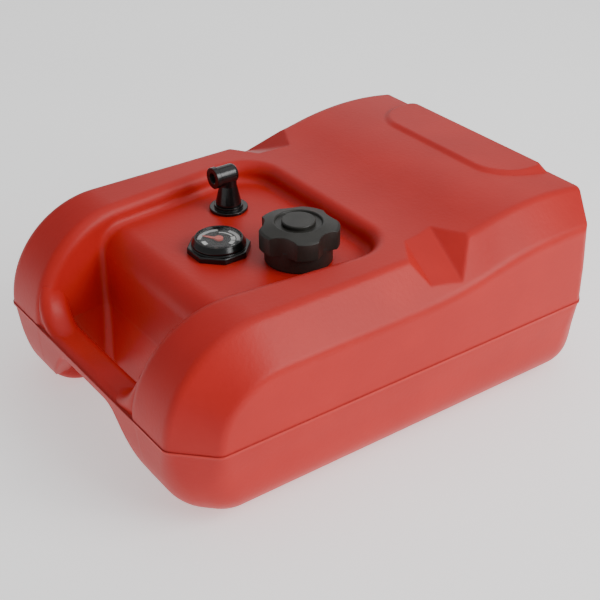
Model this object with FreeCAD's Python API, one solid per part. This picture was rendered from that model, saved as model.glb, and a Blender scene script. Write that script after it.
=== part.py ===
"""Portable outboard fuel tank: blow-moulded shell, vented cap, float gauge and swivelling withdrawal elbow.

Millimetres. Origin at the middle of the base, +Z up, -Y towards the handle end, +X to the cap's side.
"""
import math
import os

import FreeCAD
import Part
from FreeCAD import Vector

os.makedirs("parts", exist_ok=True)

# Shell
LENGTH = 512.0
HALF_L = LENGTH / 2
WIDTH = 380.0
HALF_W = WIDTH / 2
WALL = 4.0
CORNER = 36.0
PARTING_Z = 90.0
DECK_Z = 192.0
BAND_Z = DECK_Z - CORNER
REAR_Z = DECK_Z + 16.0
REAR_BAND_Z = BAND_Z + 22.0
NOSE_Y = HALF_L + PARTING_Z - DECK_Z
REAR_LEAN = 16.0
BAND_LEAN = 1.0
REAR_SLOPE_H = 50.0
FOLD_R = 12.0
BASE_R = 42.0
BOW_R = 56.0
BASE_CORNER_R = BASE_R + 2.0
BASE_DRAFT = 4.0
BASE_SECTIONS = 9
BEAD_PROUD = 0.8
BEAD_H = 2.4
MOULD_STEP = 0.3

# Well in the deck, with the fittings' floor
WELL_LONG = 278.0
WELL_REAR_Y = WELL_LONG - HALF_L
WELL_REAR_HALF = 118.8
WELL_FRONT_HALF = 92.0
WELL_CORNER_R = 36.0
WELL_TAPER = 5.3
WELL_FLARE = 3.0
WELL_DEEP = 20.0
FLOOR_Z = DECK_Z - WELL_DEEP
FLOOR_SETBACK = 80.0
FLOOR_FRONT_Y = FLOOR_SETBACK - HALF_L
FLOOR_FRONT_R = 26.0
RIM_R = 12.0
FOOT_R = 7.5

# Rise of the deck behind the well
RISE_Y = WELL_REAR_Y + 14.0
CREST_Y = HALF_L - 76.0
BAND_RISE_Y = RISE_Y - 44.0
BAND_CREST_Y = CREST_Y + 5.0

# Handle
BAR_WIDE = 33.0
BAR_BACK_Y = BAR_WIDE - HALF_L
BAR_TOP_Z = PARTING_Z + 5.0
BAR_UNDER_Z = PARTING_Z - 13.0
BAR_FLAT_HALF = 48.0
BAR_ARCH_HALF = 95.0
BAR_ARCH_Z = 27.0
BAR_R = 8.0
BAR_STEP = 0.2

# Raised plate on the rear deck
BOSS_TOP_HALF = 101.0
BOSS_FOOT_HALF = BOSS_TOP_HALF + 10.0
BOSS_FRONT_Z = REAR_Z + 3.0
BOSS_TOP_Y = CREST_Y
BOSS_FOOT_Y = BOSS_TOP_Y - 12.0
BOSS_REAR_Y = HALF_L - REAR_LEAN - 2.0
BOSS_CORNER_R = 38.0
BOSS_REAR_Z = REAR_Z + 1.5
BOSS_RIM_R = 2.5

# Strap notches in the deck edges and the strap groove under the base. Each face of a notch goes through
# three corners, told from where the deck's fold meets the start of the rise.
NOTCH_AT = (HALF_W - CORNER, RISE_Y, DECK_Z)
NOTCH_FLOOR = [(-27.0, -4.5, -1.5), (-35.5, 35.5, 1.4), (25.0, 25.5, -23.4)]
NOTCH_REAR = [(-35.5, 35.5, 1.9), (1.5, 51.0, 2.7), (25.0, 25.5, -20.9)]
NOTCH_FRONT = [(-27.0, -4.5, 0.0), (3.0, -21.5, -3.0), (21.0, -12.0, -20.6)]
GROOVE_Y = RISE_Y - 2.0
GROOVE_WIDE = 17.0
GROOVE_DEEP = 3.5

# Places of the three fittings on the floor
CAP_AT = (60.5, WELL_REAR_Y - 67.5)
GAUGE_AT = (2.9, WELL_REAR_Y - 121.8)
PICKUP_AT = (-65.5, WELL_REAR_Y - 66.0)
INNER_BOSS = 8.0
FREE = 0.3
RUNNING = 0.05

# Filler neck and cap
NECK_R = 29.0
NECK_BORE_R = 24.0
NECK_TOP_Z = FLOOR_Z + 22.0
GASKET_T = 2.0
SLIP_T = 0.8
CAP_SKIRT_R = 33.3
CAP_INNER_R = 30.9
CAP_UNDER_Z = FLOOR_Z + 0.6
CAP_STEP_Z = FLOOR_Z + 16.5
CAP_RIM_Z = FLOOR_Z + 35.2
CAP_TOP_Z = FLOOR_Z + 39.6
CAP_LOBES = 5
CAP_LOBE_R = 40.0
CAP_LOBE_HALF = 15.5
CAP_SCALLOP_R = 33.0
CAP_LOBE_TURN = 49.5
CAP_RING_R = 23.2
CAP_RING_Z = FLOOR_Z + 37.4
VENT_COVER_R = 16.5
VENT_COVER_Z = FLOOR_Z + 41.5
VENT_SEAT_R = 13.0
VENT_SEAT_T = 3.0
VENT_HOLE_R = 2.5
VENT_BORE_R = 8.0
VENT_DISC_R = 5.0
VENT_STEM_R = 1.6
VENT_LIFT = 2.0
SPRING_R = 3.6
SPRING_WIRE_R = 0.35
SPRING_TURNS = 4

# Float gauge
GAUGE_SEAL_T = 1.2
GAUGE_SEAL_R = 26.0
GAUGE_SKIRT_UP = 0.3
GAUGE_FLATS = 59.0
GAUGE_FLANGE_Z = FLOOR_Z + 6.2
GAUGE_RING_R = 26.8
GAUGE_RING_Z = FLOOR_Z + 7.2
GAUGE_STEP_Z = FLOOR_Z + 12.4
GAUGE_STEM_R = 20.0
GAUGE_HOLE_R = GAUGE_STEM_R + FREE
GAUGE_STEM_Z = FLOOR_Z - 16.0
GAUGE_POCKET_R = 22.4
GAUGE_SEAT_Z = FLOOR_Z + 10.4
GAUGE_SPIGOT_R = 23.4
BEZEL_LOW_Z = FLOOR_Z + 7.7
BEZEL_RIM_Z = FLOOR_Z + 9.4
BEZEL_TOP_Z = FLOOR_Z + 14.4
BEZEL_TOP_R = 23.2
LENS_R = 21.7
LENS_FLANGE_T = 1.0
LENS_TOP_Z = FLOOR_Z + 15.2
LENS_T = 1.1
DIAL_R = 22.0
DIAL_T = 1.0
POINTER_Z = FLOOR_Z + 11.8
POINTER_T = 0.8
POINTER_HUB_R = 4.5
POINTER_LONG = 17.5
POINTER_WIDE = 5.0
POINTER_AT = 213.0
SPINDLE_R = 1.5
STRIP_WIDE = 5.0
STRIP_T = 0.8
STRIP_TOP_Z = FLOOR_Z - 6.0
FRAME_LOW_Z = WALL + 5.0
STRIP_LOW_Z = FRAME_LOW_Z + 8.0
SWEEP = 240.0
FLOAT_TRAVEL = 96.0
FLOAT_LOW = 24.0
FLOAT_R = 15.5
FLOAT_BORE_R = 5.0
FLOAT_H = 26.0
FLOAT_Z = STRIP_LOW_Z + 5.0 + FLOAT_LOW
PLATE_T = 1.2
PLATE_Z = FLOAT_Z + FLOAT_H + PLATE_T / 2
RAIL_R = 12.5
RAIL_THICK = 2.6
RAIL_WIDE = 5.0

# Withdrawal fitting
PICKUP_STEM_R = 12.0
PICKUP_HOLE_R = PICKUP_STEM_R + FREE
PICKUP_SEAL_T = 1.0
PICKUP_FLANGE_R = 20.0
PICKUP_FLANGE_Z = FLOOR_Z + 3.4
PICKUP_RIM_R = 15.0
PICKUP_RIM_Z = FLOOR_Z + 6.4
PICKUP_LOW_Z = FLOOR_Z - 14.0
SWIVEL_R = 7.0
SWIVEL_LOW_Z = FLOOR_Z - 6.0
ELBOW_FOOT_R = 13.2
ELBOW_FOOT_Z = PICKUP_RIM_Z + 0.2
ELBOW_AXIS_Z = FLOOR_Z + 39.5
ELBOW_NECK_R = 9.0
ELBOW_BODY_R = 10.0
ELBOW_RIM_R = 11.1
ELBOW_FRONT = 18.2
ELBOW_REAR = 9.0
PORT_R = 5.7
PORT_DEEP = 14.0
PASSAGE_R = 3.0
SEAL_R = 6.1
SEAL_WIRE_R = 0.85
SEAL_Z = FLOOR_Z - 1.0
DIP_R = 4.8
DIP_BORE_R = 3.2
FILTER_R = 8.0
FILTER_LOW_Z = WALL + 4.0
FILTER_TOP_Z = FILTER_LOW_Z + 18.0
DIP_LOW_Z = FILTER_LOW_Z + 10.0


def solid_of(shape):
    """The largest closed body in a result."""
    return max(shape.Solids, key=lambda s: s.Volume)


def arc(p0, p1, p2):
    return Part.Arc(Vector(*p0), Vector(*p1), Vector(*p2)).toShape()


def line(p0, p1):
    return Part.makeLine(Vector(*p0), Vector(*p1))


def rounded_outline(points, radii, z):
    """Closed outline at height z through corner points, each corner rounded by its own radius."""
    count = len(points)
    starts = []
    ends = []
    mids = []
    for i in range(count):
        prev_pt = Vector(points[i - 1][0], points[i - 1][1], z)
        here = Vector(points[i][0], points[i][1], z)
        next_pt = Vector(points[(i + 1) % count][0], points[(i + 1) % count][1], z)
        to_prev = (prev_pt - here).normalize()
        to_next = (next_pt - here).normalize()
        half = to_prev.getAngle(to_next) / 2
        reach = radii[i] / math.tan(half)
        middle = (to_prev + to_next).normalize()
        starts.append(here + to_prev * reach)
        ends.append(here + to_next * reach)
        mids.append(here + middle * (radii[i] / math.sin(half) - radii[i]))
    edges = []
    for i in range(count):
        edges.append(Part.Arc(starts[i], mids[i], ends[i]).toShape())
        edges.append(Part.makeLine(ends[i], starts[(i + 1) % count]))
    return Part.Wire(edges)


def tank_outline(inset, front_inset, corner_r, z):
    """The tank's eight-sided plan, moved inwards by inset, and by front_inset at the handle end."""
    x = HALF_W - inset
    y = HALF_L - inset
    front = front_inset - HALF_L
    cut = CORNER - 0.586 * inset
    points = [(x, front + cut), (x, y - cut), (x - cut, y), (-x + cut, y),
              (-x, y - cut), (-x, front + cut), (-x + cut, front), (x - cut, front)]
    return rounded_outline(points, [corner_r] * 8, z)


def deck_profile(x, inset, front_y, top_z, crest_z, crest_y, rise_y, rear_y, rear_lean):
    """Side view of the upper half at one x: front round, flat deck, rising deck, rear slope."""
    front_r = -front_y - NOSE_Y
    length = crest_y - rise_y
    height = crest_z - top_z
    sweep_r = (length ** 2 + height ** 2) / (4 * height)
    lean = math.asin(length / 2 / sweep_r)
    low_c = (rise_y, top_z + sweep_r)
    high_c = (crest_y, crest_z - sweep_r)

    def polar(centre, radius, angle):
        return (x, centre[0] + radius * math.cos(angle), centre[1] + radius * math.sin(angle))

    nose = (-NOSE_Y, PARTING_Z)
    nose_r = front_r - inset
    dip_r = sweep_r + inset
    hump_r = sweep_r - inset
    end_y = rear_y - inset
    tilt = math.acos((end_y - rear_lean - crest_y) / hump_r)
    down = -math.pi / 2
    up = math.pi / 2
    p0 = polar(nose, nose_r, math.pi)
    p1 = polar(nose, nose_r, up)
    p2 = polar(low_c, dip_r, down)
    p3 = polar(low_c, dip_r, down + lean)
    p4 = polar(high_c, hump_r, tilt)
    p5 = (x, end_y, p4[2] - REAR_SLOPE_H)
    p6 = (x, end_y, PARTING_Z)
    edges = [arc(p0, polar(nose, nose_r, 0.75 * math.pi), p1),
             line(p1, p2),
             arc(p2, polar(low_c, dip_r, down + lean / 2), p3),
             arc(p3, polar(high_c, hump_r, (up + lean + tilt) / 2), p4),
             line(p4, p5),
             line(p5, p6),
             line(p6, p0)]
    return Part.Wire(edges)


def upper_half(inset):
    """Deck half of the mould: two folds on each side, with a sloping band between them."""
    cut = 0.414 * inset
    fold_x = HALF_W - CORNER - cut
    side_x = HALF_W - inset
    front = HALF_L - CORNER

    def fold(x):
        return deck_profile(x, inset, -HALF_L, DECK_Z, REAR_Z, CREST_Y, RISE_Y, HALF_L, REAR_LEAN)

    def side(x):
        return deck_profile(x, cut, -front, BAND_Z, REAR_BAND_Z, BAND_CREST_Y, BAND_RISE_Y, front, BAND_LEAN)

    body = Part.makeLoft([side(-side_x), fold(-fold_x), fold(fold_x), side(side_x)], True, True)
    folds = []
    for edge in body.Edges:
        box = edge.BoundBox
        if box.XLength < 0.01 and box.ZMax > PARTING_Z + 1:
            folds.append(edge)
    return body.makeFillet(FOLD_R - inset, folds)


def well_outline(inset, z):
    """Plan of the deck's well, open at the front, moved inwards by inset."""
    lean = math.atan2(WELL_REAR_HALF - WELL_FRONT_HALF, WELL_REAR_Y + HALF_L)
    front_y = -HALF_L - 20.0
    rear_y = WELL_REAR_Y - inset

    def half(y):
        return WELL_FRONT_HALF + (y + HALF_L) * math.tan(lean) - inset / math.cos(lean)

    points = [(half(front_y), front_y), (half(rear_y), rear_y), (-half(rear_y), rear_y), (-half(front_y), front_y)]
    corner = WELL_CORNER_R - inset
    return rounded_outline(points, [1.0, corner, corner, 1.0], z)


def well_cutter(inset):
    """Space of the well above the floor and of the hand hole down to the parting line."""
    taper = WELL_TAPER / (DECK_Z - PARTING_Z)
    top_z = REAR_Z + 32.0
    top = well_outline(-(top_z - DECK_Z) * taper - inset, top_z)
    low = well_outline(WELL_TAPER - inset, PARTING_Z)
    space = Part.makeLoft([low, top], True, True)
    front = FLOOR_FRONT_Y + inset
    foot_z = PARTING_Z - 30.0
    block = Part.makeBox(WIDTH, WELL_LONG, FLOOR_Z - inset - foot_z, Vector(-HALF_W, front, foot_z))
    crest = []
    for edge in block.Edges:
        box = edge.BoundBox
        if box.YLength < 0.01 and box.ZLength < 0.01 and box.YMax < front + 1 and box.ZMin > PARTING_Z:
            crest.append(edge)
    block = block.makeFillet(FLOOR_FRONT_R - inset, crest)
    return space.cut(block)


def cut_well(body, inset):
    """Upper half with its well: a soft foot round the floor, then a soft rim round the top."""
    body = solid_of(body.cut(well_cutter(inset)))
    front = FLOOR_FRONT_Y + inset
    floor = FLOOR_Z - inset
    feet = []
    for edge in body.Edges:
        mid = edge.valueAt((edge.FirstParameter + edge.LastParameter) / 2)
        box = edge.BoundBox
        inside = abs(mid.x) < WELL_REAR_HALF + 6 and front - 0.01 < mid.y < WELL_REAR_Y + 8
        on_foot = inside and PARTING_Z + 5 < mid.z < floor + 0.01
        across = box.XLength > WELL_FRONT_HALF and mid.y < front + FLOOR_FRONT_R
        if on_foot and not across:
            feet.append(edge)
    body = body.makeFillet(FOOT_R + inset, feet)
    rims = []
    for edge in body.Edges:
        mid = edge.valueAt((edge.FirstParameter + edge.LastParameter) / 2)
        inside = abs(mid.x) < WELL_REAR_HALF + 6
        near = WELL_FRONT_HALF - 7 < abs(mid.x) or WELL_REAR_Y - 2 < mid.y < WELL_REAR_Y + 2 + inset
        on_top = mid.z > DECK_Z - inset - 1 and mid.y < WELL_REAR_Y + 8
        on_nose = mid.y < front - 1 and mid.z > PARTING_Z + 1
        if inside and near and (on_top or on_nose):
            rims.append(edge)
    return body.makeFillet(RIM_R - inset, rims)


def sunk(radius, inset, z):
    """How far a round along the base has turned in at height z."""
    if z >= radius:
        return inset
    return radius - math.sqrt((radius - inset) ** 2 - (radius - z) ** 2)


def lower_half(inset):
    """Base half of the mould: leaning sides, a round all along the base and a deep bow at the handle end."""
    bend_z = BASE_R + 2.0
    sections = []
    for i in range(BASE_SECTIONS):
        turn = math.pi / 2 * i / (BASE_SECTIONS - 1)
        z = inset + (PARTING_Z - inset) * (1 - math.cos(turn))
        share = min((PARTING_Z - z) / (PARTING_Z - bend_z), 1.0)
        side = share * BASE_DRAFT + sunk(BASE_R, inset, z)
        bow = share * BASE_DRAFT + sunk(BOW_R, inset, z)
        corner = FOLD_R + share * (BASE_CORNER_R - FOLD_R) - sunk(BASE_R, inset, z)
        sections.append(tank_outline(side, bow, corner, z))
    return Part.makeLoft(sections, True, False)


def cut_hand_hole(body, inset):
    """Lower half with the hand hole's lower part, which flares slightly downwards."""
    top = well_outline(WELL_TAPER - inset, PARTING_Z)
    low = well_outline(-WELL_FLARE - inset, -1.0)
    space = Part.makeLoft([low, top], True, True)
    keep = Part.makeBox(WIDTH, LENGTH, DECK_Z, Vector(-HALF_W, FLOOR_FRONT_Y + inset, -50.0))
    body = solid_of(body.cut(space.cut(keep)))
    valleys = []
    for edge in body.Edges:
        box = edge.BoundBox
        if abs(box.YMin - FLOOR_FRONT_Y - inset) < 0.5 and box.YLength < 0.5 and box.ZLength > 40:
            valleys.append(edge)
    body = body.makeFillet(FOOT_R + inset, valleys)
    lips = []
    for edge in body.Edges:
        mid = edge.valueAt((edge.FirstParameter + edge.LastParameter) / 2)
        on_base = mid.z < inset + 0.5 and mid.y < FLOOR_FRONT_Y + 20
        inside = abs(mid.x) < WELL_FRONT_HALF + 15
        if inside and mid.z < PARTING_Z - 1 and (mid.y < FLOOR_FRONT_Y - 12 or on_base):
            lips.append(edge)
    return body.makeFillet(RIM_R - inset, lips)


def handle_bar(inset):
    """Carrying bar across the front of the well, with an arch below it."""
    end = BAR_ARCH_HALF + 16.0
    slope = (BAR_UNDER_Z - BAR_ARCH_Z) / (BAR_ARCH_HALF - BAR_FLAT_HALF)
    lift = inset * (math.sqrt(1 + slope ** 2) - 1) / slope
    flat = BAR_FLAT_HALF + lift
    under = BAR_UNDER_Z + inset
    foot_z = under - (end - flat) * slope
    top = BAR_TOP_Z - inset
    points = [(end, foot_z), (end, top), (-end, top), (-end, foot_z), (-flat, under), (flat, under)]
    outline = rounded_outline(points, [9.0, 9.0, 9.0, 9.0, 24.0 + inset, 24.0 + inset], 0.0)
    web = Part.Face(outline)
    web.rotate(Vector(0, 0, 0), Vector(1, 0, 0), 90.0)
    web.translate(Vector(0, BAR_BACK_Y - inset, 0))
    bar = web.extrude(Vector(0, -(BAR_BACK_Y + HALF_L - 2 * inset), 0))
    edges = []
    for edge in bar.Edges:
        if edge.BoundBox.YLength < 0.01:
            edges.append(edge)
    return bar.makeFillet(BAR_R - inset, edges)


def rear_boss(inset):
    """Low raised plate on the rear deck with sloping edges and large corners."""
    foot_z = BOSS_FRONT_Z - 15.0
    steep = 15.0 / (BOSS_FRONT_Z - REAR_Z + 3.0)
    side = (BOSS_FOOT_HALF - BOSS_TOP_HALF) * steep
    front = (BOSS_TOP_Y - BOSS_FOOT_Y) * steep
    top_x = BOSS_TOP_HALF - inset
    top_y = BOSS_TOP_Y + inset
    rear = BOSS_REAR_Y - inset
    foot_rear = rear + 4.0
    high = [(top_x, top_y), (top_x, rear), (-top_x, rear), (-top_x, top_y)]
    low_x = top_x + side
    low = [(low_x, top_y - front), (low_x, foot_rear), (-low_x, foot_rear), (-low_x, top_y - front)]
    corner = BOSS_CORNER_R - inset
    top_z = BOSS_FRONT_Z - inset
    plate = Part.makeLoft([rounded_outline(low, [corner + 20, 12, 12, corner + 20], foot_z - inset),
                           rounded_outline(high, [corner, 10, 10, corner], top_z)], True, True)
    lean = slope_box([(0, BOSS_TOP_Y, BOSS_FRONT_Z), (50, BOSS_TOP_Y, BOSS_FRONT_Z),
                      (0, BOSS_REAR_Y, BOSS_REAR_Z)], inset)
    plate = solid_of(plate.cut(lean))
    rim = []
    for edge in plate.Edges:
        if edge.BoundBox.ZMin > BOSS_REAR_Z - inset - 1:
            rim.append(edge)
    return plate.makeFillet(BOSS_RIM_R, rim)


def slope_box(points, inset):
    """Big block standing on the plane through three points, sunk by inset."""
    a = Vector(*points[0])
    b = Vector(*points[1])
    c = Vector(*points[2])
    normal = (b - a).cross(c - a).normalize()
    if normal.z < 0:
        normal = normal * -1
    block = Part.makeBox(400.0, 400.0, 120.0, Vector(-200.0, -200.0, -inset))
    turn = FreeCAD.Rotation(Vector(0, 0, 1), normal)
    block.Placement = FreeCAD.Placement(a, turn)
    return block


def notch_face(corners, inset):
    """Block above one face of a strap notch."""
    points = [(NOTCH_AT[0] + x, NOTCH_AT[1] + y, NOTCH_AT[2] + z) for x, y, z in corners]
    return slope_box(points, inset)


def strap_notch(inset):
    """Three-sided cut in the deck edge that keeps a hold-down strap in place."""
    notch = notch_face(NOTCH_FLOOR, inset)
    notch = notch.common(notch_face(NOTCH_REAR, inset))
    return notch.common(notch_face(NOTCH_FRONT, inset))


def tank_form(inset):
    """Closed outer form of the tank, moved inwards by inset."""
    upper = cut_well(upper_half(inset), inset)
    base = lower_half(inset + MOULD_STEP)
    sunk_in = inset + MOULD_STEP + BAR_STEP
    above = Part.makeBox(WIDTH, 100.0, 50.0, Vector(-HALF_W, sunk_in - HALF_L, PARTING_Z))
    bar = handle_bar(inset).common(lower_half(sunk_in).fuse(above))
    form = solid_of(upper.fuse(cut_hand_hole(base, inset + MOULD_STEP)))
    form = solid_of(form.fuse(bar))
    form = solid_of(form.fuse(rear_boss(inset)))
    right = strap_notch(inset)
    left = right.mirror(Vector(0, 0, 0), Vector(1, 0, 0))
    form = solid_of(form.cut(right).cut(left))
    groove = Part.makeBox(WIDTH + 20, GROOVE_WIDE + 2 * inset, GROOVE_DEEP + inset + 5,
                          Vector(-HALF_W - 10, GROOVE_Y - inset, -5.0))
    return solid_of(form.cut(groove))


def parting_bead():
    """Thin raised line where the two mould halves met."""
    low_z = PARTING_Z - BEAD_H / 2
    outer = Part.Face(tank_outline(-BEAD_PROUD, -BEAD_PROUD, FOLD_R, low_z)).extrude(Vector(0, 0, BEAD_H))
    inner = Part.Face(tank_outline(1.5, 1.5, FOLD_R - 2, low_z)).extrude(Vector(0, 0, BEAD_H))
    return outer.cut(inner)


def pipe(centre, outer_r, low_z, high_z):
    return Part.makeCylinder(outer_r, high_z - low_z, Vector(centre[0], centre[1], low_z))


def tube(centre, outer_r, inner_r, low_z, high_z):
    return pipe(centre, outer_r, low_z, high_z).cut(pipe(centre, inner_r, low_z - 1, high_z + 1))


def tank_shell():
    """The blow-moulded tank with its filler neck and the two fittings' holes."""
    shell = tank_form(0.0).fuse(parting_bead())
    shell = shell.fuse(pipe(CAP_AT, NECK_R, FLOOR_Z - 2, NECK_TOP_Z))
    shell = shell.cut(tank_form(WALL))
    ceiling = FLOOR_Z - WALL
    shell = shell.fuse(pipe(GAUGE_AT, GAUGE_HOLE_R + 6, ceiling - INNER_BOSS, ceiling + 1))
    shell = shell.fuse(pipe(PICKUP_AT, PICKUP_HOLE_R + 5, ceiling - INNER_BOSS, ceiling + 1))
    holes = pipe(CAP_AT, NECK_BORE_R, ceiling - 5, NECK_TOP_Z + 5)
    holes = holes.fuse(pipe(GAUGE_AT, GAUGE_HOLE_R, ceiling - 20, FLOOR_Z + 10))
    holes = holes.fuse(pipe(PICKUP_AT, PICKUP_HOLE_R, ceiling - 20, FLOOR_Z + 10))
    return solid_of(shell.cut(holes))


def revolved(centre, points):
    """Solid of revolution about the vertical through centre, from (radius, z) corners."""
    corners = [Vector(centre[0] + r, centre[1], z) for r, z in points]
    face = Part.Face(Part.makePolygon(corners + [corners[0]]))
    return face.revolve(Vector(centre[0], centre[1], 0), Vector(0, 0, 1), 360.0)


def lobed_outline(centre, z):
    """Five broad grips with hollow scallops between them."""
    step = 360.0 / CAP_LOBES
    edges = []

    def spot(radius, angle):
        turn = math.radians(angle)
        return (centre[0] + radius * math.cos(turn), centre[1] + radius * math.sin(turn), z)

    for i in range(CAP_LOBES):
        mid = CAP_LOBE_TURN + i * step
        a = mid - CAP_LOBE_HALF
        b = mid + CAP_LOBE_HALF
        edges.append(arc(spot(CAP_LOBE_R - 0.6, a), spot(CAP_LOBE_R, mid), spot(CAP_LOBE_R - 0.6, b)))
        edges.append(arc(spot(CAP_LOBE_R - 0.6, b), spot(CAP_SCALLOP_R, mid + step / 2),
                         spot(CAP_LOBE_R - 0.6, a + step)))
    return Part.Wire(edges)


def fuel_cap():
    """Screw cap: plain skirt, lobed grip with a coned top, and a bore for the vent valve."""
    grip = Part.Face(lobed_outline(CAP_AT, CAP_STEP_Z)).extrude(Vector(0, 0, 30.0))
    corners = []
    for edge in grip.Edges:
        if edge.BoundBox.ZLength > 20:
            corners.append(edge)
    grip = grip.makeFillet(2.5, corners)
    crown = revolved(CAP_AT, [(0, CAP_STEP_Z), (CAP_LOBE_R - 1.2, CAP_STEP_Z), (CAP_LOBE_R + 1, CAP_STEP_Z + 1.6),
                              (CAP_LOBE_R + 1, CAP_RIM_Z - 1.5), (CAP_LOBE_R - 2.5, CAP_RIM_Z + 0.8),
                              (CAP_RING_R + 1.0, CAP_TOP_Z), (CAP_RING_R, CAP_TOP_Z - 0.6),
                              (CAP_RING_R - 0.6, CAP_RING_Z), (0, CAP_RING_Z)])
    body = pipe(CAP_AT, CAP_SKIRT_R, CAP_UNDER_Z, CAP_STEP_Z + 4).fuse(grip.common(crown))
    ceiling = NECK_TOP_Z + GASKET_T + SLIP_T
    body = body.cut(pipe(CAP_AT, CAP_INNER_R, CAP_UNDER_Z - 1, ceiling))
    body = body.cut(pipe(CAP_AT, VENT_SEAT_R, ceiling - 1, ceiling + VENT_SEAT_T))
    body = body.cut(pipe(CAP_AT, VENT_BORE_R, ceiling, CAP_RING_Z - 1.4))
    body = body.cut(pipe(CAP_AT, VENT_STEM_R + FREE, ceiling, CAP_RING_Z + 1))
    return solid_of(body)


def vent_cover():
    """Raised round disc on the cap's top, over the vent."""
    low = CAP_RING_Z
    rim = VENT_COVER_R
    cover = revolved(CAP_AT, [(0, low + 1.2), (rim - 3, low + 1.2), (rim - 3, low), (rim, low),
                              (rim, VENT_COVER_Z - 0.8), (rim - 0.8, VENT_COVER_Z), (0, VENT_COVER_Z)])
    slot = Part.makeBox(5.0, 2 * rim + 10, 0.9, Vector(CAP_AT[0] - 2.5, CAP_AT[1] - rim - 5, low - 0.1))
    return solid_of(cover.cut(slot))


def vent_seat():
    """Perforated plug in the cap's underside that the vent disc closes."""
    low = NECK_TOP_Z + GASKET_T + SLIP_T
    return tube(CAP_AT, VENT_SEAT_R, VENT_HOLE_R, low, low + VENT_SEAT_T)


def vent_poppet():
    """Vent disc with its guide stem."""
    low = NECK_TOP_Z + GASKET_T + SLIP_T + VENT_SEAT_T
    disc = pipe(CAP_AT, VENT_DISC_R, low, low + 1.4)
    return disc.fuse(pipe(CAP_AT, VENT_STEM_R, low + 1.4, CAP_RING_Z - 1.0))


def vent_spring():
    """Light coil that keeps the vent disc down."""
    low = NECK_TOP_Z + GASKET_T + SLIP_T + VENT_SEAT_T + 1.4 + SPRING_WIRE_R
    high = CAP_RING_Z - 1.4 - SPRING_WIRE_R
    height = high - low
    helix = Part.makeLongHelix(height / SPRING_TURNS, height, SPRING_R)
    helix.translate(Vector(CAP_AT[0], CAP_AT[1], low))
    ring = Part.Wire(Part.makeCircle(SPRING_WIRE_R, Vector(CAP_AT[0] + SPRING_R, CAP_AT[1], low), Vector(0, 1, 0)))
    return Part.Wire(helix).makePipeShell([ring], True, True)


def gauge_housing():
    """Gauge body: eight-sided screw-in flange, dial cup and stem with a bearing for the spindle."""
    flat = GAUGE_FLATS / 2
    side = flat * math.tan(math.radians(22.5))
    corners = [(flat, -side), (flat, side), (side, flat), (-side, flat),
               (-flat, side), (-flat, -side), (-side, -flat), (side, -flat)]
    low = FLOOR_Z + GAUGE_SEAL_T
    skirt_z = FLOOR_Z + GAUGE_SKIRT_UP
    plate = Part.Face(rounded_outline(corners, [4.0] * 8, skirt_z)).extrude(Vector(0, 0, GAUGE_FLANGE_Z - skirt_z))
    rim = []
    for edge in plate.Edges:
        if edge.BoundBox.ZMin > GAUGE_FLANGE_Z - 0.01:
            rim.append(edge)
    plate = plate.makeFillet(1.2, rim)
    plate.translate(Vector(GAUGE_AT[0], GAUGE_AT[1], 0))
    cup = pipe(GAUGE_AT, GAUGE_RING_R, low, GAUGE_RING_Z).fuse(pipe(GAUGE_AT, GAUGE_SPIGOT_R, low, GAUGE_STEP_Z))
    body = plate.fuse(cup).fuse(pipe(GAUGE_AT, GAUGE_STEM_R, GAUGE_STEM_Z, low + 1))
    body = body.cut(pipe(GAUGE_AT, GAUGE_POCKET_R, GAUGE_SEAT_Z, GAUGE_STEP_Z + 1))
    body = body.cut(tube(GAUGE_AT, GAUGE_SEAL_R + FREE, GAUGE_STEM_R, skirt_z - 1, low))
    body = body.cut(pipe(GAUGE_AT, GAUGE_STEM_R - 3, GAUGE_STEM_Z - 1, low))
    return solid_of(body.cut(pipe(GAUGE_AT, SPINDLE_R + FREE, low - 1, GAUGE_STEP_Z)))


def gauge_bezel():
    """Coned ring that holds the lens down on the gauge body."""
    free = GAUGE_SPIGOT_R + 0.1
    return revolved(GAUGE_AT, [(free, BEZEL_LOW_Z), (GAUGE_RING_R, BEZEL_LOW_Z), (GAUGE_RING_R, BEZEL_RIM_Z),
                               (BEZEL_TOP_R + 0.4, BEZEL_TOP_Z), (BEZEL_TOP_R - 0.6, BEZEL_TOP_Z),
                               (LENS_R + FREE, BEZEL_TOP_Z - 0.8), (LENS_R + FREE, GAUGE_STEP_Z + LENS_FLANGE_T),
                               (free, GAUGE_STEP_Z + LENS_FLANGE_T)])


def gauge_lens():
    """Clear crown over the dial, with a flange under the bezel."""
    base = GAUGE_STEP_Z
    flange = base + LENS_FLANGE_T
    inner = LENS_R - LENS_T
    roof = LENS_TOP_Z - LENS_T
    return revolved(GAUGE_AT, [(inner, base), (GAUGE_SPIGOT_R, base), (GAUGE_SPIGOT_R, flange), (LENS_R, flange),
                               (LENS_R, LENS_TOP_Z - 0.8), (LENS_R - 1.0, LENS_TOP_Z), (0, LENS_TOP_Z),
                               (0, roof), (inner, roof)])


def gauge_dial():
    """Printed dial disc in the cup."""
    return tube(GAUGE_AT, DIAL_R, SPINDLE_R + FREE, GAUGE_SEAT_Z, GAUGE_SEAT_Z + DIAL_T)


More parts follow.
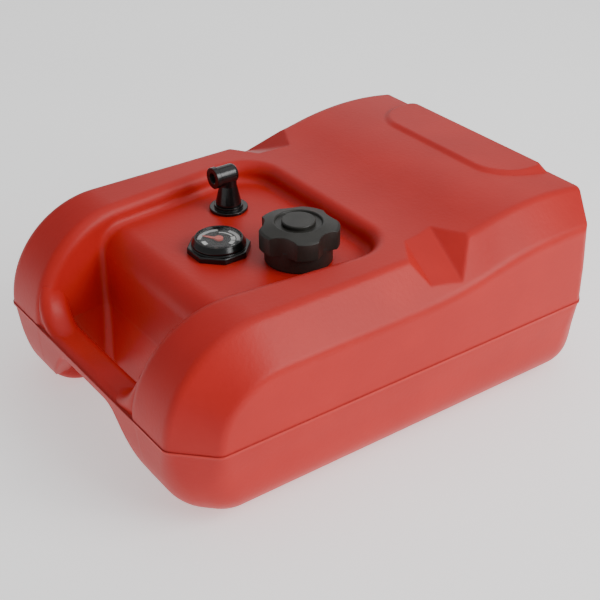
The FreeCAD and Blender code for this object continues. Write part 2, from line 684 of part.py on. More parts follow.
def gauge_pointer():
    """Pointer with its hub and the spindle that goes down through the dial."""
    hub = pipe(GAUGE_AT, POINTER_HUB_R, POINTER_Z, POINTER_Z + POINTER_T + 1.2)
    hub = hub.makeFillet(0.6, [hub.Edges[0]])
    arm = Part.makePolygon([Vector(0, -POINTER_WIDE / 2, 0), Vector(POINTER_LONG, -0.4, 0),
                            Vector(POINTER_LONG, 0.4, 0), Vector(0, POINTER_WIDE / 2, 0),
                            Vector(0, -POINTER_WIDE / 2, 0)])
    blade = Part.Face(arm).extrude(Vector(0, 0, POINTER_T))
    blade.rotate(Vector(0, 0, 0), Vector(0, 0, 1), POINTER_AT)
    blade.translate(Vector(GAUGE_AT[0], GAUGE_AT[1], POINTER_Z))
    return solid_of(hub.fuse(blade).fuse(pipe(GAUGE_AT, SPINDLE_R, STRIP_TOP_Z, POINTER_Z + 0.5)))


def strip_turn(z):
    """Angle of the twisted strip at height z; it is square to the rails at the float's plate."""
    return (z - PLATE_Z) * SWEEP / FLOAT_TRAVEL


def gauge_strip():
    """Flat strip with an even twist, which the float's plate turns as it rises."""
    sections = []
    count = 18
    for i in range(count + 1):
        z = STRIP_LOW_Z + (STRIP_TOP_Z - 6.0 - STRIP_LOW_Z) * i / count
        x = STRIP_WIDE / 2
        y = STRIP_T / 2
        wire = Part.makePolygon([Vector(-x, -y, z), Vector(x, -y, z), Vector(x, y, z), Vector(-x, y, z),
                                 Vector(-x, -y, z)])
        wire.rotate(Vector(0, 0, 0), Vector(0, 0, 1), strip_turn(z))
        wire.translate(Vector(GAUGE_AT[0], GAUGE_AT[1], 0))
        sections.append(wire)
    strip = Part.makeLoft(sections, True, False)
    head = pipe(GAUGE_AT, 3.2, STRIP_TOP_Z - 8.0, STRIP_TOP_Z)
    pin = pipe(GAUGE_AT, 1.2, FRAME_LOW_Z + 0.6, STRIP_LOW_Z + 1.0)
    toe = pipe(GAUGE_AT, 2.4, STRIP_LOW_Z - 3.0, STRIP_LOW_Z + 1.0)
    return solid_of(strip.fuse(head).fuse(toe).fuse(pin))


def rail(side, wide, thick, low_z, high_z):
    x = GAUGE_AT[0] + side * RAIL_R - thick / 2
    return Part.makeBox(thick, wide, high_z - low_z, Vector(x, GAUGE_AT[1] - wide / 2, low_z))


def gauge_frame():
    """Guide frame: collar in the stem, two rails and a foot with the strip's lower bearing."""
    top = FLOOR_Z + GAUGE_SEAL_T
    collar = tube(GAUGE_AT, GAUGE_STEM_R - 3, RAIL_R - 3.0, GAUGE_STEM_Z + 6, top)
    foot = pipe(GAUGE_AT, RAIL_R + 2.5, FRAME_LOW_Z, FRAME_LOW_Z + 4.0)
    foot = foot.cut(pipe(GAUGE_AT, 1.2 + FREE, FRAME_LOW_Z + 0.3, FRAME_LOW_Z + 5.0))
    frame = collar.fuse(foot)
    for side in (-1, 1):
        frame = frame.fuse(rail(side, RAIL_WIDE, RAIL_THICK, FRAME_LOW_Z + 1, GAUGE_STEM_Z + 8))
    return solid_of(frame)


def gauge_float():
    """Foam float with a wide bore for the strip and a slot for each rail."""
    body = pipe(GAUGE_AT, FLOAT_R, FLOAT_Z, FLOAT_Z + FLOAT_H)
    edges = [edge for edge in body.Edges if edge.BoundBox.ZLength < 0.01]
    body = body.makeFillet(1.5, edges)
    body = body.cut(pipe(GAUGE_AT, FLOAT_BORE_R, FLOAT_Z - 1, FLOAT_Z + FLOAT_H + 1))
    for side in (-1, 1):
        slot = rail(side, RAIL_WIDE + 1.4, RAIL_THICK + 1.4, FLOAT_Z - 1, FLOAT_Z + FLOAT_H + 1)
        slot = slot.fuse(slot.translated(Vector(side * 3.5, 0, 0)))
        body = body.cut(slot)
    return solid_of(body)


def float_plate():
    """Thin plate on the float with a slot that turns the strip."""
    plate = pipe(GAUGE_AT, RAIL_R - 3.2, PLATE_Z - PLATE_T / 2, PLATE_Z + PLATE_T / 2)
    wide = STRIP_WIDE + 2 * FREE
    thick = STRIP_T + 2 * FREE
    slot = Part.makeBox(wide, thick, 10.0, Vector(GAUGE_AT[0] - wide / 2, GAUGE_AT[1] - thick / 2, PLATE_Z - 5))
    return solid_of(plate.cut(slot))


def pickup_bushing():
    """Fixed half of the withdrawal fitting: flange, upper rim and stem with the swivel bore."""
    low = FLOOR_Z + PICKUP_SEAL_T
    body = pipe(PICKUP_AT, PICKUP_FLANGE_R, low, PICKUP_FLANGE_Z)
    body = body.makeFillet(0.8, [edge for edge in body.Edges if edge.BoundBox.ZMin > PICKUP_FLANGE_Z - 0.01])
    body = body.fuse(pipe(PICKUP_AT, PICKUP_RIM_R, low, PICKUP_RIM_Z))
    body = body.fuse(pipe(PICKUP_AT, PICKUP_STEM_R, PICKUP_LOW_Z, low + 1))
    body = body.cut(pipe(PICKUP_AT, SWIVEL_R + RUNNING, SWIVEL_LOW_Z - FREE, PICKUP_RIM_Z + 1))
    body = body.cut(pipe(PICKUP_AT, DIP_R, PICKUP_LOW_Z - 1, PICKUP_LOW_Z + 5))
    return solid_of(body.cut(pipe(PICKUP_AT, DIP_BORE_R, PICKUP_LOW_Z, PICKUP_RIM_Z)))


def pickup_elbow():
    """Swivelling elbow: coned neck and a level barrel with a threaded port towards the handle."""
    x = PICKUP_AT[0]
    y = PICKUP_AT[1]
    neck = revolved(PICKUP_AT, [(0, ELBOW_FOOT_Z), (ELBOW_FOOT_R, ELBOW_FOOT_Z), (ELBOW_FOOT_R, ELBOW_FOOT_Z + 2),
                                (ELBOW_NECK_R, ELBOW_AXIS_Z - 12), (ELBOW_NECK_R, ELBOW_AXIS_Z), (0, ELBOW_AXIS_Z)])
    barrel = Part.makeCylinder(ELBOW_BODY_R, ELBOW_FRONT + ELBOW_REAR, Vector(x, y - ELBOW_FRONT, ELBOW_AXIS_Z),
                               Vector(0, 1, 0))
    back = [edge for edge in barrel.Edges if edge.BoundBox.YMin > y + ELBOW_REAR - 0.01]
    barrel = barrel.makeFillet(4.5, back)
    rim = Part.makeCylinder(ELBOW_RIM_R, 5.0, Vector(x, y - ELBOW_FRONT, ELBOW_AXIS_Z), Vector(0, 1, 0))
    stem = pipe(PICKUP_AT, SWIVEL_R, SWIVEL_LOW_Z, ELBOW_FOOT_Z + 1)
    body = neck.fuse(barrel).fuse(rim).fuse(stem)
    port = Part.makeCylinder(PORT_R, PORT_DEEP, Vector(x, y - ELBOW_FRONT, ELBOW_AXIS_Z), Vector(0, 1, 0))
    across = Part.makeCylinder(PASSAGE_R, ELBOW_FRONT, Vector(x, y - ELBOW_FRONT, ELBOW_AXIS_Z), Vector(0, 1, 0))
    down = pipe(PICKUP_AT, PASSAGE_R, SWIVEL_LOW_Z - 1, ELBOW_AXIS_Z)
    seal = tube(PICKUP_AT, SWIVEL_R + 1, SEAL_R - SEAL_WIRE_R, SEAL_Z - SEAL_WIRE_R, SEAL_Z + SEAL_WIRE_R)
    return solid_of(body.cut(port).cut(across).cut(down).cut(seal))


def elbow_seal():
    """O-ring in the swivel stem's groove."""
    return Part.makeTorus(SEAL_R, SEAL_WIRE_R, Vector(PICKUP_AT[0], PICKUP_AT[1], SEAL_Z))


def dip_tube():
    """Tube from the withdrawal fitting down to the base of the tank."""
    return tube(PICKUP_AT, DIP_R, DIP_BORE_R, DIP_LOW_Z, PICKUP_LOW_Z + 5)


def pickup_filter():
    """Strainer cup pushed on the tube's lower end, with four side windows."""
    cup = tube(PICKUP_AT, FILTER_R, FILTER_R - 1.4, FILTER_LOW_Z, FILTER_TOP_Z - 4)
    cup = cup.fuse(pipe(PICKUP_AT, FILTER_R, FILTER_LOW_Z, FILTER_LOW_Z + 1.4))
    cup = cup.fuse(tube(PICKUP_AT, FILTER_R, DIP_R, FILTER_TOP_Z - 6, FILTER_TOP_Z))
    for turn in (0.0, 90.0):
        window = Part.makeBox(2 * FILTER_R + 4, 4.0, 6.0, Vector(-FILTER_R - 2, -2.0, FILTER_LOW_Z + 3))
        window.rotate(Vector(0, 0, 0), Vector(0, 0, 1), turn)
        cup = cup.cut(window.translated(Vector(PICKUP_AT[0], PICKUP_AT[1], 0)))
    return solid_of(cup)


def rings():
    """Flat seals under the cap and the two fittings."""
    low = NECK_TOP_Z
    return {
        "cap_gasket": tube(CAP_AT, NECK_R + 1.5, NECK_BORE_R, low, low + GASKET_T),
        "cap_slip_washer": tube(CAP_AT, NECK_R + 1.5, NECK_BORE_R, low + GASKET_T, low + GASKET_T + SLIP_T),
        "gauge_gasket": tube(GAUGE_AT, GAUGE_SEAL_R, GAUGE_STEM_R + FREE, FLOOR_Z, FLOOR_Z + GAUGE_SEAL_T),
        "pickup_gasket": tube(PICKUP_AT, PICKUP_FLANGE_R - 1, PICKUP_STEM_R + FREE, FLOOR_Z,
                              FLOOR_Z + PICKUP_SEAL_T),
    }


pieces = rings()
pieces["tank_shell"] = tank_shell()
for make in (fuel_cap, vent_cover, vent_seat, vent_poppet, vent_spring,
             gauge_housing, gauge_bezel, gauge_lens, gauge_dial, gauge_pointer, gauge_strip, gauge_frame,
             gauge_float, float_plate,
             pickup_bushing, pickup_elbow, elbow_seal, dip_tube, pickup_filter):
    pieces[make.__name__] = make()
for name, shape in pieces.items():
    shape.exportStep("parts/" + name + ".step")
    print(name, shape.isValid(), len(shape.Solids), round(shape.Volume, 1))
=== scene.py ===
"""Portable outboard fuel tank: looks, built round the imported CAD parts. Metres, in the CAD frame."""

import math

import bpy
import bmesh
from mathutils import Matrix, Vector


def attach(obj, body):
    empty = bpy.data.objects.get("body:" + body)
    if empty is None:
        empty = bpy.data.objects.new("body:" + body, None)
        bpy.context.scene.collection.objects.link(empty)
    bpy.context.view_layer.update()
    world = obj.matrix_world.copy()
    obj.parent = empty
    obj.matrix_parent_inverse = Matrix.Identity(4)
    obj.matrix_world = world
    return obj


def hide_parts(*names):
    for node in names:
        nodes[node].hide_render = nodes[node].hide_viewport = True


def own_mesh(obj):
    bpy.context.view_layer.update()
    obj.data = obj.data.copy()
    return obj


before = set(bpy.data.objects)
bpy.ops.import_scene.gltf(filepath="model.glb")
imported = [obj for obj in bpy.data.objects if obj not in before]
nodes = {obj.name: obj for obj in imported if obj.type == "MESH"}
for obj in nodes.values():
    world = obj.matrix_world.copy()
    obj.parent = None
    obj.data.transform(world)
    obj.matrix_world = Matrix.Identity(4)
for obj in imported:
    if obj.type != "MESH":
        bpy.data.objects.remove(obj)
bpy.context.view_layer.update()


# Tank: one blow-moulded shell of red high-density polyethylene. The mould is etched, so the skin has a fine
# satin grain, and the wall wanders slightly where it cooled unevenly. A paler red is painted in a level band
# along the raised bead at the parting line: painted light over the shade that the bead casts.
SHELL_RED = (0.53, 0.0185, 0.0145, 1.0)
SHELL_DEEP = (0.48, 0.0160, 0.0125, 1.0)
SHELL_ROUGH = 0.42
SHELL_SHEEN = 0.28
SHELL_EDGE = 0.0050
SHELL_MOTTLE = (14.0, 3.0)
PLASTIC_IOR = 1.5
TONE_FROM = 0.35
TONE_TO = 0.65
EDGE_SAMPLES = 8
# Painted light along the parting bead: its paler red, the bead's height, the band's half height, and the reach
# from the middle inside which it is left off.
BEAD_PAINTED_LIGHT = (0.60, 0.028, 0.021, 1.0)
BEAD_LIGHT_Z = 0.0896
BEAD_LIGHT_HALF = 0.0014
BEAD_LIGHT_CLEAR = 0.1000

# Scale, detail and depth of the shell's slow wave, its pebble and its fine grain, from the lowest up.
SHELL_RELIEF = ((9.0, 0.0, 0.0006), (260.0, 1.0, 0.00012), (900.0, 2.0, 0.00004))


def new_material(name):
    """Empty node material with its surface shader, and Object coordinates to lay patterns on."""
    made = bpy.data.materials.new(name)
    made.use_nodes = True
    tree = made.node_tree
    shader = tree.nodes["Principled BSDF"]
    place = tree.nodes.new("ShaderNodeTexCoord")
    return made, tree, shader, place


def noise(tree, place, scale, detail=2.0):
    """Cloudy pattern that is fixed to the piece."""
    made = tree.nodes.new("ShaderNodeTexNoise")
    made.inputs["Scale"].default_value = scale
    made.inputs["Detail"].default_value = detail
    tree.links.new(place.outputs["Object"], made.inputs["Vector"])
    return made


def soft_edges(tree, radius):
    """Corners that catch the light as edges rounded by a radius in metres do, or nothing without a radius."""
    if not radius:
        return None
    rounded = tree.nodes.new("ShaderNodeBevel")
    rounded.samples = EDGE_SAMPLES
    rounded.inputs["Radius"].default_value = radius
    return rounded


def add_bump(tree, shader, pattern, depth, under=None):
    """Relief of a real depth in metres, laid over any relief or softened edges below it."""
    bump = tree.nodes.new("ShaderNodeBump")
    bump.inputs["Distance"].default_value = depth
    bump.inputs["Strength"].default_value = 1.0
    tree.links.new(pattern.outputs["Fac"], bump.inputs["Height"])
    if under is not None:
        tree.links.new(under.outputs["Normal"], bump.inputs["Normal"])
    tree.links.new(bump.outputs["Normal"], shader.inputs["Normal"])
    return bump


def two_tone(tree, shader, pattern, low, high):
    """Base colour that drifts between two tones with a pattern."""
    ramp = tree.nodes.new("ShaderNodeValToRGB")
    for stop, position, colour in zip(ramp.color_ramp.elements, (TONE_FROM, TONE_TO), (low, high)):
        stop.position = position
        stop.color = colour
    tree.links.new(pattern.outputs["Fac"], ramp.inputs["Fac"])
    tree.links.new(ramp.outputs["Color"], shader.inputs["Base Color"])
    return ramp


def reckon(tree, operation, source, *values):
    """One sum on a value, with fixed numbers as its other terms."""
    made = tree.nodes.new("ShaderNodeMath")
    made.operation = operation
    tree.links.new(source, made.inputs[0])
    for slot, value in enumerate(values, start=1):
        made.inputs[slot].default_value = value
    return made.outputs["Value"]


def paint_bead_light(tree, place, shader, under, colour):
    """Painted light: a paler red in a narrow level band along the parting bead, over its shade, but not on the bar
    between the lobes.
    """
    axes = tree.nodes.new("ShaderNodeSeparateXYZ")
    tree.links.new(place.outputs["Object"], axes.inputs["Vector"])
    near = reckon(tree, "COMPARE", axes.outputs["Z"], BEAD_LIGHT_Z, BEAD_LIGHT_HALF)
    aside = reckon(tree, "ABSOLUTE", axes.outputs["X"])
    outside = reckon(tree, "GREATER_THAN", aside, BEAD_LIGHT_CLEAR)
    both = tree.nodes.new("ShaderNodeMath")
    both.operation = "MULTIPLY"
    tree.links.new(near, both.inputs[0])
    tree.links.new(outside, both.inputs[1])
    blend = tree.nodes.new("ShaderNodeMix")
    blend.data_type = "RGBA"
    blend.inputs["B"].default_value = colour
    tree.links.new(both.outputs["Value"], blend.inputs["Factor"])
    tree.links.new(under.outputs["Color"], blend.inputs["A"])
    tree.links.new(blend.outputs["Result"], shader.inputs["Base Color"])


def shell_finish(name, edge):
    """Etched red skin of the tank, with its moulded edges softened where they have a radius."""
    made, tree, shader, place = new_material(name)
    shader.inputs["Roughness"].default_value = SHELL_ROUGH
    shader.inputs["IOR"].default_value = PLASTIC_IOR
    shader.inputs["Specular IOR Level"].default_value = SHELL_SHEEN
    mottle = two_tone(tree, shader, noise(tree, place, *SHELL_MOTTLE), SHELL_DEEP, SHELL_RED)
    # A paler band painted along the parting bead, as painted light over its shade.
    paint_bead_light(tree, place, shader, mottle, BEAD_PAINTED_LIGHT)
    under = soft_edges(tree, edge)
    for scale, detail, depth in SHELL_RELIEF:
        under = add_bump(tree, shader, noise(tree, place, scale, detail), depth, under)
    return made


def dress(material, *names):
    """Gives CAD nodes their finish."""
    for name in names:
        slots = nodes[name].data.materials
        slots.clear()
        slots.append(material)


shell_red = shell_finish("shell_red", SHELL_EDGE)
shell_plain = shell_finish("shell_plain", 0.0)
dress(shell_red, "tank_shell")


# Filler neck: moulded in one with the shell, with a coarse outer thread of three and a quarter turns.
CAP_PLACE = Vector((0.0605, -0.0455, 0.0))
NECK_RADIUS = 0.0290
NECK_LOW = 0.1760
NECK_TURNS = 3.25
THREAD_PITCH = 0.0040
THREAD_PROUD = 0.0012
THREAD_SINK = 0.0006
THREAD_STEPS = 72
THREAD_WIDTHS = (0.0019, 0.0007)
WELD = 1e-7


def close_ends(mesh):
    """Fills whatever a spin has left open."""
    bmesh.ops.holes_fill(mesh, edges=[edge for edge in mesh.edges if edge.is_boundary])


def new_object(name, data):
    """Object at the origin, in the scene."""
    made = bpy.data.objects.new(name, data)
    bpy.context.scene.collection.objects.link(made)
    return made


def finish_piece(name, mesh, material, body, smooth=True):
    """Turns a bmesh into a named piece that rides on a body, with closed seams and outward faces."""
    bmesh.ops.remove_doubles(mesh, verts=mesh.verts, dist=WELD)
    bmesh.ops.recalc_face_normals(mesh, faces=mesh.faces)
    for face in mesh.faces:
        face.smooth = smooth and len(face.verts) < 5
    made = bpy.data.meshes.new(name)
    mesh.to_mesh(made)
    mesh.free()
    made.materials.append(material)
    piece = new_object(name, made)
    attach(piece, body)
    return piece


def thread_ridge(mesh, centre, root, crest, widths, pitch, turns, steps, axis=(0, 0, 1)):
    """Helical ridge from root radius to crest radius, as wide at its root and crest as widths says."""
    axis = Vector(axis)
    side = axis.orthogonal().normalized()
    base, top = (width / 2 for width in widths)
    corners = ((root, -base), (crest, -top), (crest, top), (root, base))
    ridge = mesh.faces.new([mesh.verts.new(Vector(centre) + side * radius + axis * height)
                            for radius, height in corners])
    bmesh.ops.spin(mesh, geom=[ridge], cent=centre, axis=axis, dvec=axis * pitch / steps,
                   angle=2 * math.pi * turns, steps=round(steps * turns), use_merge=False)
    close_ends(mesh)


neck_mesh = bmesh.new()
thread_ridge(neck_mesh, CAP_PLACE + Vector((0, 0, NECK_LOW)), NECK_RADIUS - THREAD_SINK,
             NECK_RADIUS + THREAD_PROUD, THREAD_WIDTHS, THREAD_PITCH, NECK_TURNS, THREAD_STEPS)
finish_piece("neck_thread", neck_mesh, shell_red, "tank")


# Bar ends: a concave web carries the top of the carrying bar over into the inner wall of each lobe. It is part
# of the moulded shell. Its section has a short round at the front and a long one at the back, and a root that
# reaches into the corner below.
COVE_Y = (-0.2550, -0.2236)
COVE_CENTRE = Vector((0.0509, 0.0, 0.1349))
COVE_RADIUS = 0.0400
COVE_ROUNDS = ((0.0110, 0.0085), (0.0160, 0.0090))
COVE_SWEEP = math.radians(87.0)
COVE_STEPS = 32
COVE_EASE = 0.02
EASE_POWER = 4
ROUND_STEPS = 7
ROOT_RADIUS = 0.0500
ROOT_INSET = 0.0014
ROOT_SWELL = 0.290
NOSE_RADIUS = 0.1020
NOSE_Z = 0.0900
WALL_Y = -0.2350
WALL_LEAN = 0.0964


def cove_section():
    """Places and radii round the web's section, from its root at the front to its root at the back."""
    section = []
    for y, inward, (long, deep) in zip(COVE_Y, (1, -1), COVE_ROUNDS):
        half = [(y + inward * ROOT_INSET, ROOT_RADIUS)]
        for step in range(ROUND_STEPS + 1):
            turn = math.pi / 2 * step / ROUND_STEPS
            half.append((y + inward * long * (1 - math.cos(turn)), COVE_RADIUS + deep * (1 - math.sin(turn))))
        section += half[::inward]
    return section


def lay_to_shell(vert):
    """Eases the web into the wall at its top, swells its root, and follows the curved nose and leaning wall."""
    arm = vert.co - COVE_CENTRE
    turn = math.atan2(arm.x, -arm.z)
    reach = 1.0 + COVE_EASE * (turn / COVE_SWEEP) ** EASE_POWER
    if math.hypot(arm.x, arm.z) > ROOT_RADIUS - WELD * 10:
        reach += ROOT_SWELL * math.sin(2.0 * turn) ** 2
    vert.co.x = COVE_CENTRE.x + arm.x * reach
    vert.co.z = COVE_CENTRE.z + arm.z * reach
    rise = max(vert.co.z - NOSE_Z, 0.0)
    vert.co.y += NOSE_RADIUS - math.sqrt(NOSE_RADIUS ** 2 - rise ** 2)
    vert.co.x += (vert.co.y - WALL_Y) * WALL_LEAN


def bar_cove(mesh):
    """Web at the bar's right end: its section swept from the bar's top up to the wall."""
    mesh.faces.new([mesh.verts.new(COVE_CENTRE + Vector((0.0, y, -radius))) for y, radius in cove_section()])
    bmesh.ops.spin(mesh, geom=mesh.verts[:] + mesh.edges[:] + mesh.faces[:], cent=COVE_CENTRE, axis=(0, -1, 0),
                   dvec=(0, 0, 0), angle=COVE_SWEEP, steps=COVE_STEPS, use_merge=False)
    close_ends(mesh)
    for vert in mesh.verts:
        lay_to_shell(vert)


for side in ("right", "left"):
    cove_mesh = bmesh.new()
    bar_cove(cove_mesh)
    if side == "left":
        bmesh.ops.scale(cove_mesh, vec=(-1, 1, 1), verts=cove_mesh.verts)
    finish_piece("bar_cove_" + side, cove_mesh, shell_plain, "tank")


# Screw cap: injection-moulded black polypropylene with lobed grips, and a vent cover pressed into its top. Its
# skirt has an inner thread half a pitch from the neck's. A rubber gasket and a white slip washer lie inside.
CAP_BLACK = (0.0150, 0.0140, 0.0115, 1.0)
CAP_WORN = (0.0230, 0.0214, 0.0176, 1.0)
CAP_BORE = 0.0309
CAP_TURNS = 2.25
MOTTLE = (60.0, 4.0)
GLOSS = (130.0, 3.0)
GLOSS_DRIFT = 0.05


def grey(level):
    """Neutral colour of one level."""
    return (level, level, level, 1.0)


def moulded(name, dark, pale, rough, grain, depth, edge=0.0, metal=0.0):
    """Smooth part with a fine grain, a slightly uneven gloss and edges softened by a radius."""
    made, tree, shader, place = new_material(name)
    shader.inputs["IOR"].default_value = PLASTIC_IOR
    shader.inputs["Metallic"].default_value = metal
    two_tone(tree, shader, noise(tree, place, *MOTTLE), dark, pale)
    drift = tree.nodes.new("ShaderNodeMapRange")
    drift.inputs["To Min"].default_value = rough - GLOSS_DRIFT
    drift.inputs["To Max"].default_value = rough + GLOSS_DRIFT
    tree.links.new(noise(tree, place, *GLOSS).outputs["Fac"], drift.inputs["Value"])
    tree.links.new(drift.outputs["Result"], shader.inputs["Roughness"])
    add_bump(tree, shader, noise(tree, place, grain), depth, soft_edges(tree, edge))
    return made


cap_black = moulded("cap_black", CAP_BLACK, CAP_WORN, rough=0.44, grain=1500.0, depth=0.00004, edge=0.0011)
seal_rubber = moulded("seal_rubber", grey(0.02), grey(0.03), rough=0.7, grain=2200.0, depth=0.00003)
slip_white = moulded("slip_white", (0.62, 0.62, 0.58, 1.0), (0.70, 0.70, 0.66, 1.0), rough=0.45, grain=1500.0,
                     depth=0.00002)
dress(cap_black, "fuel_cap", "vent_cover")
dress(seal_rubber, "cap_gasket")
dress(slip_white, "cap_slip_washer", "vent_seat")
cap_mesh = bmesh.new()
thread_ridge(cap_mesh, CAP_PLACE + Vector((0, 0, NECK_LOW - THREAD_PITCH / 2)), CAP_BORE + THREAD_SINK,
             CAP_BORE - THREAD_PROUD, THREAD_WIDTHS, THREAD_PITCH, CAP_TURNS, THREAD_STEPS)
finish_piece("cap_thread", cap_mesh, cap_black, "cap")


# Vent spring: a light coil of bright steel wire between the vent disc and the cap's top.
COIL_LOW = 0.20155
COIL_RADIUS = 0.0036
COIL_WIRE = 0.00035
COIL_SIDES = 12
COIL_PITCH = 0.001525
COIL_TURNS = 4
COIL_STEPS = 28

spring_steel = moulded("spring_steel", grey(0.50), grey(0.60), rough=0.28, grain=3000.0, depth=0.00001, metal=1.0)
coil_mesh = bmesh.new()
bmesh.ops.create_circle(coil_mesh, cap_ends=True, segments=COIL_SIDES, radius=COIL_WIRE,
                        matrix=Matrix.Translation(CAP_PLACE + Vector((COIL_RADIUS, 0.0, COIL_LOW)))
                        @ Matrix.Rotation(math.radians(90.0), 4, "X"))
bmesh.ops.spin(coil_mesh, geom=coil_mesh.faces[:], cent=CAP_PLACE, axis=(0, 0, 1),
               dvec=(0, 0, COIL_PITCH / COIL_STEPS), angle=2 * math.pi * COIL_TURNS, steps=COIL_TURNS * COIL_STEPS,
               use_merge=False)
close_ends(coil_mesh)
vent_coil = finish_piece("vent_coil", coil_mesh, spring_steel, "cap")
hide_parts("vent_spring")
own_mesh(vent_coil)


# Float gauge: eight-sided body of black nylon screwed into the floor of the well, with a coned ring that holds
# the clear crown. Below it a foam float climbs two grey rails, and its slotted plate turns a twisted metal
# strip, which carries the red pointer.
FITTING_BLACK = grey(0.0035)
FITTING_SHEEN = grey(0.0060)
FITTING_ROUGH = 0.24
CROWN_DARK = 0.04
CROWN_ROUGH = 0.04
CROWN_IOR = 2.6
CROWN_ALPHA = 0.13
CROWN_RIPPLE = (40.0, 1.0)
CROWN_RIPPLE_DEPTH = 0.00002

fitting_black = moulded("fitting_black", FITTING_BLACK, FITTING_SHEEN, FITTING_ROUGH, grain=900.0, depth=0.00002,
                        edge=0.0014)
dial_face = moulded("dial_face", grey(0.010), grey(0.016), rough=0.5, grain=1800.0, depth=0.00001)
pointer_red = moulded("pointer_red", (0.90, 0.13, 0.09, 1.0), (0.95, 0.16, 0.11, 1.0), rough=0.3, grain=1200.0,
                      depth=0.00001)
frame_grey = moulded("frame_grey", grey(0.10), grey(0.13), rough=0.5, grain=1200.0, depth=0.00003)
strip_metal = moulded("strip_metal", (0.55, 0.56, 0.57, 1.0), (0.66, 0.67, 0.68, 1.0), rough=0.3, grain=2500.0,
                      depth=0.00001, metal=1.0)
float_foam = moulded("float_foam", grey(0.030), grey(0.060), rough=0.8, grain=700.0, depth=0.0002)
lens_clear, tree, shader, place = new_material("lens_clear")
shader.inputs["Base Color"].default_value = grey(CROWN_DARK)
shader.inputs["Roughness"].default_value = CROWN_ROUGH
shader.inputs["IOR"].default_value = CROWN_IOR
shader.inputs["Alpha"].default_value = CROWN_ALPHA
add_bump(tree, shader, noise(tree, place, *CROWN_RIPPLE), CROWN_RIPPLE_DEPTH)
dress(fitting_black, "gauge_housing", "gauge_bezel", "vent_poppet")
dress(seal_rubber, "gauge_gasket")
dress(dial_face, "gauge_dial")
dress(pointer_red, "gauge_pointer")
dress(frame_grey, "gauge_frame", "float_plate")
dress(strip_metal, "gauge_strip")
dress(float_foam, "gauge_float")
dress(lens_clear, "gauge_lens")


# Dial print: thin layers of white and cream ink on the black disc, and silver arcs round its edge that are a
# painted reflection of the crown's clear wall, all as bands round the pointer's spindle. Each row below is a
# band's inner and outer radius, and the hours of a clock face between which it runs, with twelve o'clock towards
# the back left.
DIAL_TOP = 0.1834
PRINT_UP = 0.0001
GAUGE_PLACE = Vector((0.0029, -0.0998, DIAL_TOP))
CLOCK_TOP = math.radians(144.1)
HOUR = math.radians(30.0)
STEPS_AN_HOUR = 8
WHITE_BANDS = ((0.0136, 0.0152, 11.9, 14.0), (0.0120, 0.0164, 14.2, 15.1), (0.0120, 0.0164, 15.3, 16.2),
               (0.0130, 0.0172, 7.6, 8.5))
# Silver arcs round the dial's edge: painted reflection of the crown's clear wall, not print.
CROWN_REFLECTION_BANDS = ((0.0174, 0.0212, 9.0, 11.8), (0.0174, 0.0212, 12.9, 15.2), (0.0178, 0.0208, 16.0, 17.3))
CREAM_BANDS = ((0.0172, 0.0205, 17.9, 18.3),)


def dial_ink_and_reflection(name, dark, pale, rough):
    """Nearly flat layer on the dial: printing ink, and the silver arcs of painted reflection."""
    return moulded(name, dark, pale, rough, grain=1500.0, depth=0.000005)


def dial_band(mesh, inner, outer, hour, until):
    """Raised flat band on the dial between two radii, from one hour of a clock face round to another, for the
    printed ink and for the painted reflection.
    """
    turn = CLOCK_TOP - HOUR * hour
    ray = Vector((math.cos(turn), math.sin(turn), 0.0))
    ends = [mesh.verts.new(GAUGE_PLACE + ray * radius) for radius in (inner, outer)]
    edge = mesh.edges.new(ends)
    before = set(mesh.faces)
    bmesh.ops.spin(mesh, geom=ends + [edge], cent=GAUGE_PLACE, axis=(0, 0, 1), dvec=(0, 0, 0),
                   angle=-HOUR * (until - hour), steps=max(2, round(STEPS_AN_HOUR * (until - hour))),
                   use_merge=False)
    flat = [face for face in mesh.faces if face not in before]
    raised = bmesh.ops.extrude_face_region(mesh, geom=flat, use_keep_orig=True)
    tops = [item for item in raised["geom"] if isinstance(item, bmesh.types.BMVert)]
    bmesh.ops.translate(mesh, verts=tops, vec=(0, 0, PRINT_UP))


print_white = dial_ink_and_reflection("print_white", (0.86, 0.86, 0.84, 1.0), (0.93, 0.93, 0.91, 1.0), 0.4)
# Silver colour of the painted reflection round the dial's edge.
painted_crown_reflection = dial_ink_and_reflection("painted_crown_reflection", grey(0.58), (0.70, 0.70, 0.69, 1.0), 0.35)
print_cream = dial_ink_and_reflection("print_cream", (0.72, 0.55, 0.42, 1.0), (0.78, 0.60, 0.46, 1.0), 0.4)
for name, material, bands in (("dial_scale", print_white, WHITE_BANDS), ("dial_rim_reflection", painted_crown_reflection, CROWN_REFLECTION_BANDS),
                              ("dial_empty_mark", print_cream, CREAM_BANDS)):
    band_mesh = bmesh.new()
    for band in bands:
        dial_band(band_mesh, *band)
    finish_piece(name, band_mesh, material, "tank", smooth=False)


# Withdrawal fitting: a black nylon bushing screwed into the floor of the well, with an elbow that swivels in it
# on an o-ring. The elbow's open end is tapped for the hose's fitting. Under the bushing hang a natural dip tube
# and its strainer.
PORT_PLACE = Vector((-0.0655, -0.0617, 0.2115))
PORT_RADIUS = 0.0057
PORT_PITCH = 0.00141
PORT_TURNS = 7.0
PORT_STEPS = 40
PORT_SINK = 0.0002
PORT_PROUD = 0.0006
PORT_WIDTHS = (0.0010, 0.0003)

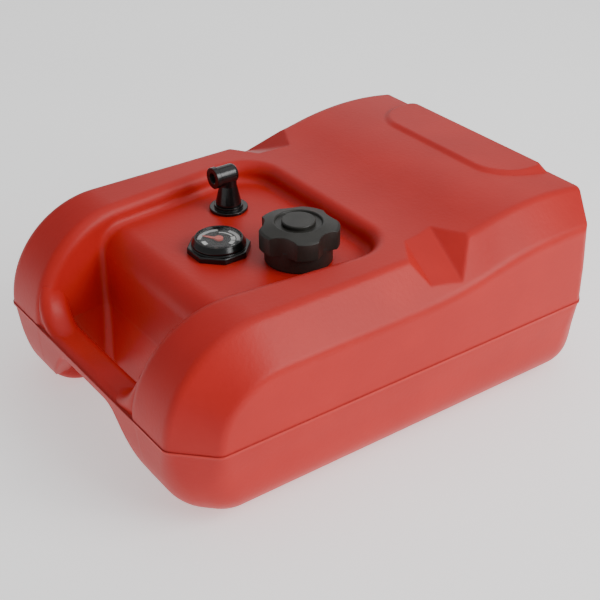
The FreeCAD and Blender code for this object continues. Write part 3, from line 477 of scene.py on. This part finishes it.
elbow_black = moulded("elbow_black", FITTING_BLACK, FITTING_SHEEN, FITTING_ROUGH, grain=700.0, depth=0.00002,
                      edge=0.0008)
tube_natural = moulded("tube_natural", (0.60, 0.59, 0.52, 1.0), (0.68, 0.67, 0.60, 1.0), rough=0.4, grain=1300.0,
                       depth=0.00002)
dress(elbow_black, "pickup_bushing", "pickup_elbow")
dress(seal_rubber, "pickup_gasket", "elbow_seal")
dress(tube_natural, "dip_tube", "pickup_filter")
port_mesh = bmesh.new()
thread_ridge(port_mesh, PORT_PLACE, PORT_RADIUS + PORT_SINK, PORT_RADIUS - PORT_PROUD, PORT_WIDTHS, PORT_PITCH,
             PORT_TURNS, PORT_STEPS, axis=(0, 1, 0))
finish_piece("port_thread", port_mesh, elbow_black, "elbow")


# Studio: a pale floor that runs far out, a bright surround and four broad soft lights, with the camera above
# the front right corner of the tank.
FLOOR_HALF = 40.0
FLOOR_ROUGH = 0.9
FLOOR_GLOW = 0.6
FLOOR_MOTTLE = (3.0, 2.0)
WHITE = grey(1.0)
SURROUND_GLOW = 0.37
CAMERA_AT = Vector((0.9045, -0.6544, 0.7610))
CAMERA_LOOKS = Vector((-0.6908, 0.4998, -0.5224))
CAMERA_LENS = 74.03
CAMERA_SENSOR = 36.0

# Name, place, point aimed at, width and depth, and power of each light.
SOFT_LIGHTS = (
    ("key_right", (1.7, 0.6, 1.1), (0.0, 0.0, 0.1), (1.0, 0.8), 16.0),
    ("top_wide", (0.15, 0.25, 1.9), (0.0, 0.0, 0.1), (2.2, 1.8), 9.0),
    ("shoulder_sheen", (1.28, 0.96, 1.52), (0.18, 0.0, 0.16), (0.85, 0.7), 14.0),
    ("deck_sheen", (-1.35, 1.10, 1.00), (0.0, 0.0, 0.2), (1.4, 1.0), 3.2),
)


def stand_facing(holder, at, direction):
    """Puts a light or camera at a place, looking in a direction."""
    holder.location = at
    holder.rotation_mode = "QUATERNION"
    holder.rotation_quaternion = direction.to_track_quat("-Z", "Y")


def soft_light(name, at, aim, size, power):
    """Rectangular light aimed at a point."""
    lamp = bpy.data.lights.new(name, "AREA")
    lamp.shape = "RECTANGLE"
    lamp.size, lamp.size_y = size
    lamp.energy = power
    stand_facing(new_object(name, lamp), at, Vector(aim) - Vector(at))


floor_grid = bmesh.new()
bmesh.ops.create_grid(floor_grid, x_segments=1, y_segments=1, size=FLOOR_HALF)
floor_mesh = bpy.data.meshes.new("studio_floor")
floor_grid.to_mesh(floor_mesh)
floor_grid.free()
floor_white, tree, shader, place = new_material("floor_white")
shader.inputs["Roughness"].default_value = FLOOR_ROUGH
shader.inputs["Emission Color"].default_value = WHITE
shader.inputs["Emission Strength"].default_value = FLOOR_GLOW
two_tone(tree, shader, noise(tree, place, *FLOOR_MOTTLE), grey(0.86), grey(0.88))
floor_mesh.materials.append(floor_white)
studio_floor = new_object("studio_floor", floor_mesh)

surround = bpy.data.worlds.new("surround")
surround.use_nodes = True
background = surround.node_tree.nodes["Background"]
background.inputs["Color"].default_value = WHITE
background.inputs["Strength"].default_value = SURROUND_GLOW
bpy.context.scene.world = surround
for light in SOFT_LIGHTS:
    soft_light(*light)

lens = bpy.data.cameras.new("camera")
lens.lens = CAMERA_LENS
lens.sensor_width = CAMERA_SENSOR
camera = new_object("camera", lens)
stand_facing(camera, CAMERA_AT, CAMERA_LOOKS)
bpy.context.scene.camera = camera
